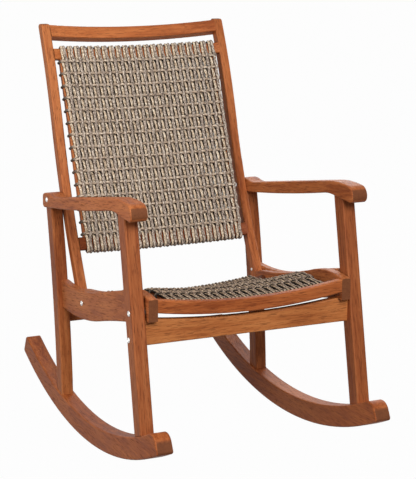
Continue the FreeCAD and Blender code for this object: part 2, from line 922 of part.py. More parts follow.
def make_fasteners():
    arm_spot = (arm_bolt_y, arm_bolt_z)
    apron_spot = (s.apron_bolt_y, s.apron_bolt_z)
    seat_spot = (seat_bolt_y, s.seat_bolt_z)
    apron_outer = s.frame_half + s.apron_thick
    arm_outer = s.frame_half + s.arm_width
    make_bolts("arm_bolts", arm_outer, *arm_spot, arm_outer - stile_inner - s.bolt_end_gap)
    make_bolts("side_apron_bolts", apron_outer, *apron_spot, apron_outer - seat_rail_inner - s.bolt_end_gap)
    make_bolts("seat_bolts", leg_outer, *seat_spot, leg_outer - seat_rail_inner - s.bolt_end_gap)
    front_length = s.front_leg_thick + s.front_bolt_reach
    make_bolts("front_apron_bolts", leg_outer, front_bolt_y, s.front_bolt_z, front_length)

    nuts = []
    spacers = []
    barrels = []
    for side in sides.values():
        nuts.append(make_cap_nut(side, stile_inner, *arm_spot))
        nuts.append(make_cap_nut(side, seat_rail_inner, *apron_spot))
        nuts.append(make_cap_nut(side, seat_rail_inner, *seat_spot))
        ring_place = (across_from(side, leg_inner, s.leg_gap), *seat_spot, "across")
        ring = add_rod("Ring", s.spacer_radius, s.leg_gap, ring_place)
        spacers.append(cut_with("Spacer", ring, add_rod("Bore", bolt_hole, s.leg_gap, ring_place)))
        barrels.append(make_barrel_nut(side))
    add_group("cap_nuts", nuts)
    add_group("seat_spacers", spacers)
    add_group("barrel_nuts", barrels)


def make_barrel_nut(side):
    # A cross dowel inside the front apron, which the bolt through the leg screws into.
    x = side * (leg_inner - s.barrel_inset)
    back = s.front_apron_y + s.front_apron_thick
    lying = size(-90)
    start = front_bolt_y - s.barrel_length / 2
    barrel = add_rod("Barrel", s.barrel_radius, s.barrel_length, (x, start, s.front_bolt_z, lying))
    drill("front_apron", s.barrel_radius + s.bolt_clearance, back - start, (x, start, s.front_bolt_z, lying))
    reach = s.front_bolt_reach + s.bolt_end_gap
    bore_place = (across_from(side, leg_inner, reach), front_bolt_y, s.front_bolt_z, "across")
    drill("front_apron", bolt_hole, reach, bore_place)
    return cut_with("BarrelNut", barrel, add_rod("Bore", bolt_hole, reach, bore_place))


def make_screws():
    screws = []
    for name, side in sides.items():
        for z in (s.screw_low_z, s.screw_high_z):
            y = stile_face(z) + stile_middle
            length = s.stile_thick + s.screw_bite
            shank_x = across_from(side, stile_inner + length, length)
            head_x = across_from(side, stile_inner, s.screw_head_height)
            screws.append(stepped_rods("Screw", [
                (s.screw_radius, length, (shank_x, y, z, "across")),
                (s.screw_head_radius, s.screw_head_height, (head_x, y, z, "across")),
            ]))
            bite = s.screw_bite + s.joint_gap
            bite_x = across_from(side, s.frame_half + bite, bite)
            drill(f"side_apron_{name}", s.screw_radius + s.joint_gap, bite, (bite_x, y, z, "across"))
    add_group("stile_screws", screws)


# Dowels

def make_dowels():
    feet = []
    arms = []
    aprons = []
    seats = []
    backs = []
    leg_middle = leg_inner + s.rear_leg_thick / 2
    apron_middle = s.frame_half + s.apron_thick / 2
    lying = size(-90)
    # Two dowels share a wide joint, each this part of its width from an edge.
    shares = (s.dowel_share, 1 - s.dowel_share)
    for name, side in sides.items():
        front_leg = f"front_leg_{name}"
        rear_leg = f"rear_leg_{name}"
        rocker = f"rocker_{name}"
        arm = f"arm_{name}"
        apron = f"side_apron_{name}"
        rail = f"seat_side_rail_{name}"
        stile = f"back_stile_{name}"
        leg_x = side * leg_middle

        front_foot = front_leg_foot(s.front_leg_y + s.front_leg_depth / 2)
        rear_foot = rear_leg_foot(s.rear_leg_depth / 2)
        for foot, leg in ((front_foot, front_leg), (rear_foot, rear_leg)):
            feet.append((leg_x, *foot, turn_of(foot[0], foot_radius), rocker, leg))

        front_top = [(low + high) / 2 for low, high in zip(arm_seat_front, arm_seat_back)]
        rear_y = rear_leg_face(arm_rear_under) + s.rear_leg_depth / 2
        arms.append((leg_x, *front_top, -s.front_leg_lean, front_leg, arm))
        arms.append((leg_x, rear_y, arm_under(rear_y), size(0), rear_leg, arm))

        for share in shares:
            z = s.apron_front_bottom + share * (s.apron_front_top - s.apron_front_bottom)
            y = front_leg_face(z) + s.front_leg_depth
            aprons.append((side * apron_middle, y, z, lying, front_leg, apron))
            z = s.apron_rear_bottom + share * (s.apron_rear_top - s.apron_rear_bottom)
            aprons.append((side * apron_middle, rear_leg_face(z), z, lying, rear_leg, apron))
        rear_z = s.rear_apron_bottom + s.rear_apron_height / 2
        aprons.append((side * leg_inner, rear_apron_middle, rear_z, "across", rear_leg, "rear_apron"))
        front_z = (s.front_bolt_z + s.seat_rail_bottom) / 2
        aprons.append((side * leg_inner, front_bolt_y, front_z, "across", front_leg, "front_apron"))

        rail_x = side * seat_rail_inner
        front_y = s.seat_front_y + s.front_rail_thick / 2
        for share in shares:
            z = s.front_rail_top - share * s.front_rail_height
            seats.append((rail_x, front_y, z, "across", rail, "seat_front_rail"))
        for y, top, weave_rail in (
            (s.front_weave_rail_y, front_weave_top, "seat_weave_rail_front"),
            (s.rear_weave_rail_y, rear_weave_top, "seat_weave_rail_rear"),
        ):
            middle = y + s.weave_rail_thick / 2
            seats.append((rail_x, middle, top - s.weave_rail_height / 2, "across", rail, weave_rail))

        for label, foot, lean, start, height, thick in back_rails:
            for share in shares:
                spot = on_plane(foot, lean, thick / 2, start + share * height)
                backs.append((side * stile_inner, *spot, "across", stile, label))
    add_dowels("foot_dowels", s.foot_dowel_radius, s.foot_dowel_half, feet)
    add_dowels("arm_dowels", s.dowel_radius, s.dowel_half, arms)
    add_dowels("apron_dowels", s.dowel_radius, s.dowel_half, aprons)
    add_dowels("seat_dowels", s.dowel_radius, s.dowel_half, seats)
    add_dowels("back_dowels", s.dowel_radius, s.dowel_half, backs)


# Each rail of the back: the foot and lean of its plane, its start up that plane, height and thickness.
back_foot = (s.back_y, s.back_z)
top_rail_foot = on_plane(back_foot, s.back_lean, s.top_rail_inset, top_rail_start)
back_rails = [
    ("back_lower_rail", back_foot, s.back_lean, -s.lower_rail_height, s.lower_rail_height, s.back_rail_thick),
    ("back_upper_rail", back_foot, s.back_lean, upper_rail_start, s.upper_rail_height, s.back_rail_thick),
    ("back_top_rail", top_rail_foot, top_rail_lean, size(0), s.top_rail_height, s.top_rail_thick),
]

for side_name, side_sign in sides.items():
    make_rocker(side_name, side_sign)
    make_front_leg(side_name, side_sign)
    make_rear_leg(side_name, side_sign)
    make_arm(side_name, side_sign)
    make_side_apron(side_name, side_sign)
    make_seat_side_rail(side_name, side_sign)
    make_seat_strip(side_name, side_sign)
    make_stile(side_name, side_sign)
    make_back_strip(side_name, side_sign)
make_front_apron()
make_rear_apron()
make_dished_rail("seat_front_rail", s.seat_front_y, s.front_rail_thick, s.front_rail_top, s.front_rail_height)
weave_rails = {
    "seat_weave_rail_front": (s.front_weave_rail_y, front_weave_top),
    "seat_weave_rail_rear": (s.rear_weave_rail_y, rear_weave_top),
}
for rail_label, (rail_y, rail_top) in weave_rails.items():
    make_dished_rail(rail_label, rail_y, s.weave_rail_thick, rail_top, s.weave_rail_height)
make_seat_weave()
for rail in back_rails:
    make_back_rail(*rail)
make_back_weave()
make_fasteners()
make_screws()
make_dowels()

# Each drilled piece is its blank less all of its holes.
for piece_label, tools in drillings.items():
    blank = pieces[piece_label]
    blank.Label = f"{piece_label}_blank"
    holes_group = doc.addObject("Part::Compound", "Holes")
    holes_group.Links = tools
    drilled = cut_with("Drilled", blank, holes_group)
    drilled.Label = piece_label
    pieces[piece_label] = drilled
doc.recompute()

failed = [item.Label for item in doc.Objects if {"Invalid", "Error"} & set(item.State)]
failed += [label for label, item in pieces.items() if item.Shape.isNull() or not item.Shape.isValid()]
if failed:
    raise RuntimeError(f"pieces that failed: {failed}")

os.makedirs("parts", exist_ok=True)
for piece_label, piece in pieces.items():
    piece.Shape.exportStep(f"parts/{piece_label}.step")
print(f"wrote {len(pieces)} pieces")
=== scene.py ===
import math

import bpy
import numpy as np
from mathutils import Matrix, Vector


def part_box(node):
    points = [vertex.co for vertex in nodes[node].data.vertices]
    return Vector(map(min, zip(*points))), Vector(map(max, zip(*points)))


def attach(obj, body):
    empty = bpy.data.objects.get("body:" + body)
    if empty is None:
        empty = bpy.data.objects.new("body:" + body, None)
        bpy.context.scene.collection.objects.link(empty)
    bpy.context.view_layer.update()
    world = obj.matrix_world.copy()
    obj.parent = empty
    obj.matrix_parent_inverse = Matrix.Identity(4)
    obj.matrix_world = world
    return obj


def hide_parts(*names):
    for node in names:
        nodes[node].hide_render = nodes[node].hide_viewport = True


# A wooden rocking chair with a seat and a back of woven cord. Metres, +Z up, the chair faces -Y.

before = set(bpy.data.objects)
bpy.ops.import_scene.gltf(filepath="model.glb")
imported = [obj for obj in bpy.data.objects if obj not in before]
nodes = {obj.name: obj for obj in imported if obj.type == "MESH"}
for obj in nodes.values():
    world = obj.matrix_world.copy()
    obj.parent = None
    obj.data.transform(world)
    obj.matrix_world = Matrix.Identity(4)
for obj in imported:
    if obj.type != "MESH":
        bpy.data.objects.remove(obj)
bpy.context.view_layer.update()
print("frame loaded,", len(nodes), "nodes")


# shader sockets: arithmetic on values adds Math nodes, wire.node() adds any other node
class Wire:
    def __init__(self, tree, socket=None):
        self.tree = tree
        self.socket = socket

    def node(self, kind, settings=None, inputs=None, output=0):
        made = self.tree.nodes.new(kind)
        for key, value in (settings or {}).items():
            if key == "stops":
                self.fillRamp(made.color_ramp, value)
            else:
                setattr(made, key, value)
        for key, value in (inputs or {}).items():
            if isinstance(value, Wire):
                self.tree.links.new(value.socket, made.inputs[key])
            else:
                made.inputs[key].default_value = value
        return Wire(self.tree, made.outputs[output])

    def fillRamp(self, ramp, stops):
        while len(ramp.elements) < len(stops):
            ramp.elements.new(0.5)
        for element, (place, colour) in zip(ramp.elements, stops):
            element.position = place
            element.color = (*colour, 1)

    def maths(self, operation, *others):
        inputs = {index: item for index, item in enumerate((self, *others))}
        return self.node("ShaderNodeMath", {"operation": operation}, inputs)

    def __add__(self, other):
        return self.maths("ADD", other)

    def __sub__(self, other):
        return self.maths("SUBTRACT", other)

    def __mul__(self, other):
        return self.maths("MULTIPLY", other)

    def __radd__(self, other):
        return self.maths("ADD", other)

    def __rmul__(self, other):
        return self.maths("MULTIPLY", other)

    def __rsub__(self, other):
        return self.node("ShaderNodeMath", {"operation": "SUBTRACT"}, {0: other, 1: self})

    def part(self, axis):
        return self.node("ShaderNodeSeparateXYZ", None, {0: self}, axis)

    def along(self, direction):
        # the share of a vector that lies along a direction
        inputs = {0: self, 1: direction}
        return self.node("ShaderNodeVectorMath", {"operation": "DOT_PRODUCT"}, inputs, "Value")

    def step(self, low, high):
        # 0 below low, 1 above high and smooth between
        inputs = {"Value": self, "From Min": low, "From Max": high}
        return self.node("ShaderNodeMapRange", {"interpolation_type": "SMOOTHSTEP"}, inputs)

    def mix(self, factor, other):
        # this colour, and the other one where factor is 1
        return self.node("ShaderNodeMix", {"data_type": "RGBA"}, {0: factor, 6: self, 7: other}, 2)

    def noise(self, **inputs):
        return self.node("ShaderNodeTexNoise", None, {"Vector": self, **inputs})


def newMaterial(name):
    material = bpy.data.materials.new(name)
    material.use_nodes = True
    tree = material.node_tree
    shader = next(node for node in tree.nodes if node.type == "BSDF_PRINCIPLED")
    return material, Wire(tree), shader


def feed(wire, shader, socket):
    wire.tree.links.new(wire.socket, shader.inputs[socket])


# oiled hardwood: growth rings, fine pores and slow tone changes, all drawn out along the grain
wood = {
    "pale": (0.50, 0.165, 0.050), "mid": (0.39, 0.112, 0.031), "dark": (0.24, 0.057, 0.014),
    "pore": (0.11, 0.026, 0.008), "endGrain": (0.13, 0.046, 0.020), "rubbed": (0.56, 0.21, 0.075),
}


def oiledWood(name, grain, face, tone, tint):
    # grain is the direction of the grain, face the axis across the board's broad faces
    material, start, shader = newMaterial(name)
    shades = {key: tuple(a * b for a, b in zip(wood[key], tint)) for key in wood}
    spot = start.node("ShaderNodeTexCoord", None, None, "Object")
    lengthwise = spot.along(grain)
    drift = spot.noise(Scale=5.0, Detail=2.0)
    # the grain's own space: metres across, but a metre along counts as a few centimetres
    squeeze = lengthwise * -0.92
    pulled = spot.node("ShaderNodeVectorMath", {"operation": "SCALE"}, {0: grain, "Scale": squeeze})
    stretched = spot.node("ShaderNodeVectorMath", {"operation": "ADD"}, {0: spot, 1: pulled})
    slow = stretched.noise(Scale=22.0, Detail=3.0)
    rings = stretched.noise(Scale=115.0, Detail=5.0, Roughness=0.68, Distortion=0.4)
    pores = stretched.noise(Scale=430.0, Detail=2.0, Roughness=0.6)
    figure = slow * 0.6 + rings * 0.9 + (drift - 0.5) * 0.4 + (tone - 0.24)
    colour = figure.node("ShaderNodeValToRGB", {"stops": [
        (0.30, shades["dark"]), (0.47, shades["mid"]), (0.66, shades["pale"])]}, {"Fac": figure})
    poreMask = 1 - pores.step(0.34, 0.46)
    colour = colour.mix(poreMask * 0.6, (*shades["pore"], 1))
    # end grain is greyer, and worn edges are paler
    facing = start.node("ShaderNodeNewGeometry", None, None, "Normal")
    ends = facing.along(grain).maths("ABSOLUTE").step(0.74, 0.88)
    broad = facing.along(face).maths("ABSOLUTE")
    edges = broad.step(0.15, 0.45) * (1 - broad.step(0.86, 0.98))
    colour = colour.mix(edges * (0.02 + 0.14 * slow), (*shades["rubbed"], 1))
    colour = colour.mix(ends * 0.8, (*wood["endGrain"], 1))
    feed(colour, shader, "Base Color")
    feed(0.42 + 0.22 * rings + 0.12 * poreMask + 0.15 * ends, shader, "Roughness")
    relief = figure * 0.3 - poreMask * 0.8
    bump = relief.node("ShaderNodeBump", None, {"Strength": 0.25, "Distance": 0.0006, "Height": relief})
    feed(bump, shader, "Normal")
    shader.inputs["Specular IOR Level"].default_value = 0.16
    return material


lean = math.radians(11.1)
backLean = math.radians(20.7)
# for each wood: direction of the grain, axis across the faces, tone, tint and the nodes made of it
woodNodes = {
    "oiledWoodRocker": ((0, 1, 0), (1, 0, 0), -0.05, (0.92, 0.83, 0.76), ["rocker_left", "rocker_right"]),
    "oiledWoodFrontLeg": ((0, math.sin(lean), math.cos(lean)), (1, 0, 0), -0.06, (0.82, 0.78, 0.82), [
        "front_leg_left", "front_leg_right"]),
    "oiledWoodRearLeg": ((0, 0.15, 0.989), (1, 0, 0), -0.06, (0.94, 0.93, 0.92), [
        "rear_leg_left", "rear_leg_right"]),
    "oiledWoodArm": ((0, 0.99, -0.14), (1, 0, 0), -0.02, (1.0, 0.97, 0.97), ["arm_left", "arm_right"]),
    "oiledWoodApron": ((0, 0.985, -0.17), (1, 0, 0), -0.02, (1.0, 1.0, 1.05), [
        "side_apron_left", "side_apron_right", "seat_side_rail_left", "seat_side_rail_right"]),
    "oiledWoodStile": ((0, math.sin(backLean), math.cos(backLean)), (1, 0, 0), 0.03, (1.02, 1.0, 1.0), [
        "back_stile_left", "back_stile_right", "back_side_strip_left", "back_side_strip_right"]),
    "oiledWoodRail": ((1, 0, 0), (0, 1, 0), 0.0, (1.0, 0.92, 0.85), ["rear_apron", "seat_front_rail"]),
    # painted shade: the seat's weave rails and side strips, which sit under the cords, are painted much
    # darker
    "paintedShadeWoodRail": ((1, 0, 0), (0, 1, 0), -0.1, (0.30, 0.28, 0.28), [
        "seat_weave_rail_front", "seat_weave_rail_rear", "seat_side_strip_left", "seat_side_strip_right"]),
    "oiledWoodTopRail": ((1, 0, 0), (0, 1, 0), 0.04, (1.14, 1.08, 1.05), [
        "back_upper_rail", "back_top_rail"]),
    # painted shade: the back's lower rail, under the cords, is painted darker
    "paintedShadeLowerRail": ((1, 0, 0), (0, 1, 0), -0.06, (0.66, 0.54, 0.48), ["back_lower_rail"]),
    "oiledWoodFrontApron": ((1, 0, 0), (0, 1, 0), 0.04, (1.10, 1.18, 1.15), ["front_apron"]),
    "plainDowel": ((0, 0, 1), (1, 0, 0), 0.08, (1.0, 1.0, 1.0), [
        "foot_dowels", "arm_dowels", "apron_dowels", "seat_dowels", "back_dowels"]),
}


def dress(names, material):
    for name in names:
        slots = nodes[name].data.materials
        slots.clear()
        slots.append(material)


for name, (grain, face, tone, tint, names) in woodNodes.items():
    dress(names, oiledWood(name, grain, face, tone, tint))
print("wood dressed")


# bright zinc: fine turning marks and a few dull spots
def brightZinc(name):
    material, start, shader = newMaterial(name)
    spot = start.node("ShaderNodeTexCoord", None, None, "Object")
    grit = spot.noise(Scale=900.0, Detail=3.0)
    dull = spot.noise(Scale=140.0, Detail=2.0)
    colour = dull.node("ShaderNodeValToRGB", {"stops": [
        (0.35, (0.42, 0.40, 0.37)), (0.6, (0.72, 0.71, 0.69))]}, {"Fac": dull})
    feed(colour, shader, "Base Color")
    feed(0.22 + 0.25 * grit, shader, "Roughness")
    shader.inputs["Metallic"].default_value = 0.9
    return material


zinc = brightZinc("brightZinc")
dress(["cap_nuts", "barrel_nuts", "stile_screws"], zinc)


# dark moulded spacers: matt, with fine speckles
def darkNylon(name):
    material, start, shader = newMaterial(name)
    spot = start.node("ShaderNodeTexCoord", None, None, "Object")
    speckle = spot.noise(Scale=700.0, Detail=2.0)
    colour = speckle.node("ShaderNodeValToRGB", {"stops": [
        (0.35, (0.012, 0.010, 0.009)), (0.65, (0.035, 0.031, 0.028))]}, {"Fac": speckle})
    feed(colour, shader, "Base Color")
    feed(0.5 + 0.3 * speckle, shader, "Roughness")
    return material


dress(["seat_spacers"], darkNylon("darkNylon"))


def solidFrom(name, points, quads, corners, uv=None):
    # a smooth mesh of quads and triangles from whole arrays; uv has one row per loop
    mesh = bpy.data.meshes.new(name)
    loops = np.concatenate([quads.ravel(), corners.ravel()]).astype(np.int32)
    quadStarts = np.arange(len(quads)) * 4
    cornerStarts = len(quads) * 4 + np.arange(len(corners)) * 3
    starts = np.concatenate([quadStarts, cornerStarts]).astype(np.int32)
    mesh.vertices.add(len(points))
    mesh.vertices.foreach_set("co", np.asarray(points, np.float32).ravel())
    mesh.loops.add(len(loops))
    mesh.loops.foreach_set("vertex_index", loops)
    mesh.polygons.add(len(starts))
    mesh.polygons.foreach_set("loop_start", starts)
    mesh.polygons.foreach_set("use_smooth", np.ones(len(starts), bool))
    if uv is not None:
        layer = mesh.uv_layers.new(name="UVMap")
        layer.data.foreach_set("uv", np.asarray(uv, np.float32).ravel())
    mesh.update()
    mesh.validate()
    piece = bpy.data.objects.new(name, mesh)
    bpy.context.scene.collection.objects.link(piece)
    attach(piece, "root")
    return piece


# screw heads: a profile (radius, height, how hexagonal) turned round the bolt's axis
bolts = {
    "arm_bolts": 0.327, "side_apron_bolts": 0.306, "seat_bolts": 0.322, "front_apron_bolts": 0.322,
    "profile": [
        (0.0002, 1.0, 1), (2.4, 1.0, 1), (2.6, 2.5, 1), (3.1, 2.8, 0), (4.6, 2.7, 0), (6.1, 2.1, 0),
        (6.9, 1.2, 0), (7.1, 0.5, 0), (7.1, 0.0, 0), (3.0, 0.0, 0), (3.0, -40.0, 0), (0.0002, -40.0, 0)],
    "around": 48,
}


def turnedBolts(node, face):
    # point = axis + height outward + radius round it; the radius of a hexagon is cos 30 over
    # the cosine of the angle from the middle of its side
    rows = np.array(bolts["profile"]) * (0.001, 0.001, 1)
    count = bolts["around"]
    angle = np.arange(count) * 2 * np.pi / count
    hexagon = math.cos(math.pi / 6) / np.cos(np.mod(angle, np.pi / 3) - np.pi / 6)
    radius = rows[:, :1] * (1 + rows[:, 2:] * (hexagon * 1.08 - 1))
    low, high = (np.array(corner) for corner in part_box(node))
    middle = (low + high) / 2
    points, quads = [], []
    for side in (-1, 1):
        ring = np.stack([
            np.broadcast_to(side * (face + rows[:, 1:2]), radius.shape),
            middle[1] + radius * np.cos(angle) * side,
            middle[2] + radius * np.sin(angle)], axis=-1)
        index = np.arange(ring.size // 3).reshape(ring.shape[:2]) + len(points) * ring.size // 3
        after = np.roll(index, -1, axis=1)
        quads.append(np.stack([index[:-1], index[1:], after[1:], after[:-1]], axis=-1).reshape(-1, 4))
        points.append(ring.reshape(-1, 3))
    piece = solidFrom(node + "Turned", np.concatenate(points), np.concatenate(quads), np.zeros((0, 3), int))
    piece.data.materials.append(zinc)
    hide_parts(node)


for node in ("arm_bolts", "side_apron_bolts", "seat_bolts", "front_apron_bolts"):
    turnedBolts(node, bolts[node])
print("bolts turned")


# twisted cord: three strands of mixed yarn; u runs along the cord in metres, v once round it
cord = {
    "twist": 0.034, "strands": 3, "sides": 12, "lobes": 0.07, "rough": 0.012,
    # the flank ranges bound the painted shade on the cords' sides and inner faces, a wider band on the seat;
    # the edges mark where painted shade starts at the side strips
    "backPaintedShadeFlank": (-0.15, 0.7), "seatPaintedShadeFlank": (0.3, 0.97), "backEdge": 0.2405, "seatEdge": 0.22,
    "slack": 0.25, "rowSlack": 0.4, "ripple": 0.7,
    # dark, middle, pale and light yarns; the seat's cords use darker copies of the same yarns, which is
    # painted shade on the seat
    "paleCord": [(0.12, 0.075, 0.045), (0.50, 0.36, 0.235), (0.74, 0.57, 0.40), (0.94, 0.83, 0.66)],
    "greyCord": [(0.05, 0.036, 0.028), (0.28, 0.21, 0.165), (0.46, 0.37, 0.30), (0.78, 0.67, 0.55)],
    "backCrossCord": [(0.08, 0.05, 0.035), (0.40, 0.285, 0.20), (0.62, 0.475, 0.35), (0.86, 0.73, 0.58)],
    "paintedShadeSeatPaleCord": [(0.06, 0.036, 0.022), (0.29, 0.185, 0.115), (0.50, 0.35, 0.225), (0.82, 0.64, 0.45)],
    "paintedShadeSeatGreyCord": [(0.03, 0.02, 0.015), (0.18, 0.12, 0.085), (0.34, 0.24, 0.175), (0.65, 0.50, 0.37)],
    "paintedShadeSeatCrossCord": [(0.04, 0.026, 0.017), (0.22, 0.145, 0.095), (0.40, 0.285, 0.19), (0.70, 0.54, 0.40)],
}


def flecked(name, shadeFlank, edge=None):
    # flank is where the bright outer side begins and ends, as sines of the angle round the cord; past it the
    # sides and the inner face get painted shade. edge is how far from the middle the cord turns round a side
    # strip; from there on the cord gets painted shade
    dark, mid, pale, light = cord[name]
    material, start, shader = newMaterial(name)
    place = start.node("ShaderNodeUVMap", {"uv_map": "UVMap"})
    lengthwise = place.part("X")
    strand = (place.part("Y") * cord["strands"] + lengthwise * (1 / cord["twist"])).maths("FRACT")
    crown = (strand * math.pi).maths("SINE")
    # yarn runs along the strand, so its noise is stretched that way
    yarnSpot = place.node("ShaderNodeCombineXYZ", None, {
        "X": lengthwise * 190.0, "Y": (place.part("Y") * 6.0 + lengthwise * 60.0), "Z": 0.0})
    yarn = yarnSpot.noise(Scale=1.0, Detail=2.0, Roughness=0.7)
    patch = yarnSpot.noise(Scale=0.22, Detail=1.0)
    mixed = yarn * 0.85 + patch * 0.15
    colour = mixed.node("ShaderNodeValToRGB", {"stops": [
        (0.36, dark), (0.44, mid), (0.53, pale), (0.61, light)]}, {"Fac": mixed})
    # painted shade in the grooves between the strands
    grooveShade = 1 - crown.step(0.0, 0.5)
    colour = colour.mix(grooveShade * 0.5, (*[0.45 * part for part in dark], 1))
    # painted shade: the outer side, a quarter of the way round, stays bright, and the sides and the inner
    # face are painted dark as if in shade
    outward = (place.part("Y") * (2 * math.pi)).maths("SINE")
    colour = colour.mix(0.97 * (1 - outward.step(*shadeFlank)), (*[0.1 * part for part in dark], 1))
    # painted shade where the cross cords turn round a side strip, darker past the edge
    if edge:
        aside = start.node("ShaderNodeTexCoord", None, None, "Object").part("X").maths("ABSOLUTE")
        paintedStripShade = 0.8 * aside.step(edge - 0.004, edge + 0.003)
        colour = colour.mix(paintedStripShade, (*[0.5 * part for part in dark], 1))
    feed(colour, shader, "Base Color")
    feed(0.62 + 0.2 * yarn, shader, "Roughness")
    relief = crown + 0.35 * yarn
    bump = relief.node("ShaderNodeBump", None, {"Strength": 0.6, "Distance": 0.0012, "Height": relief})
    feed(bump, shader, "Normal")
    shader.inputs["Specular IOR Level"].default_value = 0.25
    return material


paleCord = flecked("paleCord", cord["backPaintedShadeFlank"])
greyCord = flecked("greyCord", cord["backPaintedShadeFlank"])
backCross = flecked("backCrossCord", cord["backPaintedShadeFlank"], cord["backEdge"])
# the seat's cords: darker copies of the back's colours, painted shade on the seat
paintedShadeSeatPale = flecked("paintedShadeSeatPaleCord", cord["seatPaintedShadeFlank"])
paintedShadeSeatGrey = flecked("paintedShadeSeatGreyCord", cord["seatPaintedShadeFlank"])
paintedShadeSeatCross = flecked("paintedShadeSeatCrossCord", cord["seatPaintedShadeFlank"], cord["seatEdge"])


def cordTubes(name, paths, radius, reference, material, seed):
    # each path carries a ring of points: centre + r (cos a n + sin a m), where n is the reference
    # made square to the path, m = path x n, and r swells over each strand
    steps = np.gradient(paths, axis=1)
    tangent = steps / np.linalg.norm(steps, axis=2, keepdims=True)
    first = reference - np.sum(reference * tangent, axis=2, keepdims=True) * tangent
    first /= np.linalg.norm(first, axis=2, keepdims=True)
    second = np.cross(tangent, first)
    rng = np.random.default_rng(seed)
    count, length = paths.shape[:2]
    sides = cord["sides"]
    run = np.cumsum(np.linalg.norm(steps, axis=2), axis=1)
    run = run + rng.uniform(0, 40, (count, 1))
    round01 = np.arange(sides) / sides
    turn = round01 * cord["strands"] + run[..., None] / cord["twist"]
    swell = 1 + cord["lobes"] * (np.abs(np.sin(np.pi * turn)) - 0.64)
    rough = 1 + rng.normal(0, cord["rough"], (count, length, 1))
    ring = np.reshape(radius, (1, -1, 1)) * swell * rough
    angle = round01 * 2 * np.pi
    wheel = first[:, :, None] * np.cos(angle)[:, None] + second[:, :, None] * np.sin(angle)[:, None]
    points = paths[:, :, None] + ring[..., None] * wheel
    index = np.arange(count * length * sides).reshape(count, length, sides)
    after = np.roll(index, -1, axis=2)
    quads = np.stack([index[:, :-1], after[:, :-1], after[:, 1:], index[:, 1:]], axis=-1).reshape(-1, 4)
    tips = count * length * sides + np.arange(2 * count).reshape(2, count, 1)
    headTips, tailTips = np.broadcast_to(tips, (2, count, sides))
    heads = np.stack([after[:, 0], index[:, 0], headTips], axis=-1)
    tails = np.stack([index[:, -1], after[:, -1], tailTips], axis=-1)
    corners = np.concatenate([heads.reshape(-1, 3), tails.reshape(-1, 3)])
    allPoints = np.concatenate([points.reshape(-1, 3), paths[:, 0], paths[:, -1]])
    u = np.broadcast_to(run[..., None], index.shape)
    vLow = np.broadcast_to(round01, index.shape)
    vHigh = vLow + 1 / sides
    lowUv, highUv = np.stack([u, vLow], -1), np.stack([u, vHigh], -1)
    quadUv = np.stack([lowUv[:, :-1], highUv[:, :-1], highUv[:, 1:], lowUv[:, 1:]], axis=-2).reshape(-1, 2)
    tipUv = np.zeros((corners.size, 2))
    piece = solidFrom(name, allPoints, quads, corners, np.concatenate([quadUv, tipUv]))
    piece.data.materials.append(material)
    return piece


def roundedRoute(corners, radius, spacing):
    # a route through (a, b) corners, each rounded by an arc, with evenly spaced points
    corners = np.array(corners, float)
    route = [corners[:1]]
    for before, corner, following in zip(corners, corners[1:], corners[2:]):
        back = (before - corner) / np.linalg.norm(before - corner)
        ahead = (following - corner) / np.linalg.norm(following - corner)
        half = math.acos(float(np.clip(np.dot(back, ahead), -1, 1))) / 2
        cut = radius / math.tan(half)
        middle = corner + (back + ahead) / np.linalg.norm(back + ahead) * radius / math.sin(half)
        start = corner + back * cut - middle
        end = corner + ahead * cut - middle
        share = np.linspace(0, 1, 9)[:, None]
        sweep = np.pi - 2 * half
        arc = (np.sin((1 - share) * sweep) * start + np.sin(share * sweep) * end) / math.sin(sweep)
        route.append(middle + arc)
    route.append(corners[-1:])
    route = np.concatenate(route)
    run = np.concatenate([[0], np.cumsum(np.linalg.norm(np.diff(route, axis=0), axis=1))])
    even = np.linspace(0, run[-1], int(run[-1] / spacing))
    return np.stack([np.interp(even, run, route[:, axis]) for axis in (0, 1)], axis=1)


# the back: x across, b behind the rails' faces and t up the leaning back, in millimetres
back = {
    "y": 174.5, "z": 508.0, "lean": backLean, "bow": 25.0, "bowHalf": 256.5, "half": 240.5,
    "pairs": 22, "rows": 15, "firstRow": 8.0, "lastRow": 500.0, "railThick": 20.5,
    "lowerRail": (-36.0, 0.0), "upperRail": (508.0, 539.5), "stripInner": 224.5, "stripDepth": 14.0,
    "pale": 4.0, "grey": 4.5, "cross": 4.0, "spacing": 3.2, "rearSpacing": 9.0,
    "rearShift": 4.6, "crossLevel": -4.3, "crossRise": 4.5, "crossSpacing": 2.4, "crossPhase": 4.2,
}


def bowAt(x):
    # an arc through the two stiles: how far it lies behind their line
    bowRadius = (back["bowHalf"] ** 2 + back["bow"] ** 2) / (2 * back["bow"])
    return back["bow"] - bowRadius + np.sqrt(bowRadius ** 2 - x ** 2)


def onBack(x, b, t):
    # b behind the bowed face and t up the plane, which leans back
    behind = b + bowAt(x)
    y = back["y"] + behind * math.cos(back["lean"]) + t * math.sin(back["lean"])
    z = back["z"] - behind * math.sin(back["lean"]) + t * math.cos(back["lean"])
    return np.stack(np.broadcast_arrays(x, y, z), axis=-1) * 0.001


def rowWave(t, first, last, rows, power):
    # 1 at each cross row, 0 midway between two, and 0 outside the woven part; power narrows the peak
    pitch = (last - first) / (rows - 1)
    phase = (t - first) / pitch
    inside = np.clip((np.minimum(t - first, last - t) / pitch + 0.5) * 4, 0, 1)
    return (0.5 + 0.5 * np.cos(2 * np.pi * phase)) ** power * inside, np.mod(phase, 1), inside


